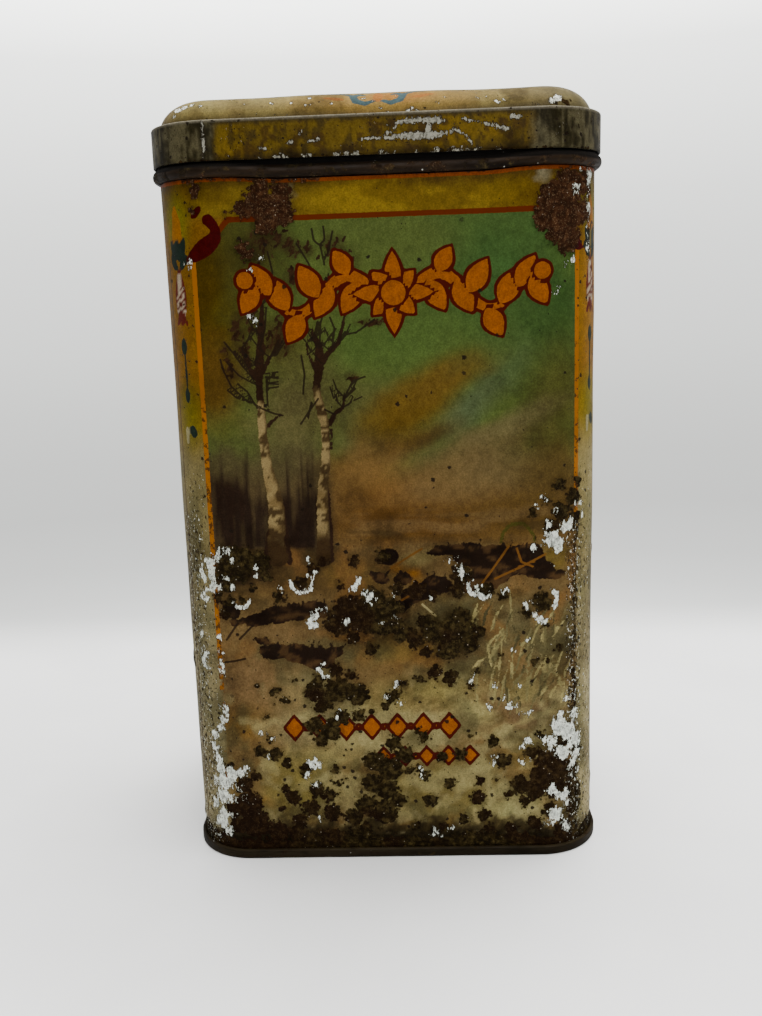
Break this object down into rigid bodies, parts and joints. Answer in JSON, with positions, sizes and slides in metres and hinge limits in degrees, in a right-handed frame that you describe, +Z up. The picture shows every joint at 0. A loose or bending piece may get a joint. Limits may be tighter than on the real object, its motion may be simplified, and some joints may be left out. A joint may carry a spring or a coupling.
{
  "type": "lithographed storage tin",
  "caption": "Tall printed tinplate storage tin, rounded rectangular, with a folded bottom seam, a stop bead round its neck and a slip-over lid with a raised top.",
  "frame": {"origin": "centre of the base, in the plane of the bottom seam that the tin stands on", "axes": "+Z up the tin towards the lid, +X to the right of the front picture, the front picture faces -Y"},
  "size_m": [0.1198, 0.0838, 0.21],
  "materials": {
    "printed_tinplate": "varnished litho print, worn and rusted",
    "printed_lid_tinplate": "varnished litho print, yellowed",
    "gilt_tinplate": "olive-gold varnish over tin, rubbed bare at the corners",
    "bare_tinplate": "bare tinplate, darkened and rusty"
  },
  "bodies": {
    "can": {"body_wall": "printed_tinplate", "bottom_pan": "bare_tinplate", "neck_ring": "bare_tinplate"},
    "lid": {"lid_band": "gilt_tinplate", "lid_panel": "printed_lid_tinplate"}
  },
  "joints": [
    {"name": "lid_lift", "type": "slide", "parent": "can", "child": "lid", "axis": [0, 0, 1], "range_m": [0, 0.05]}
  ]
}
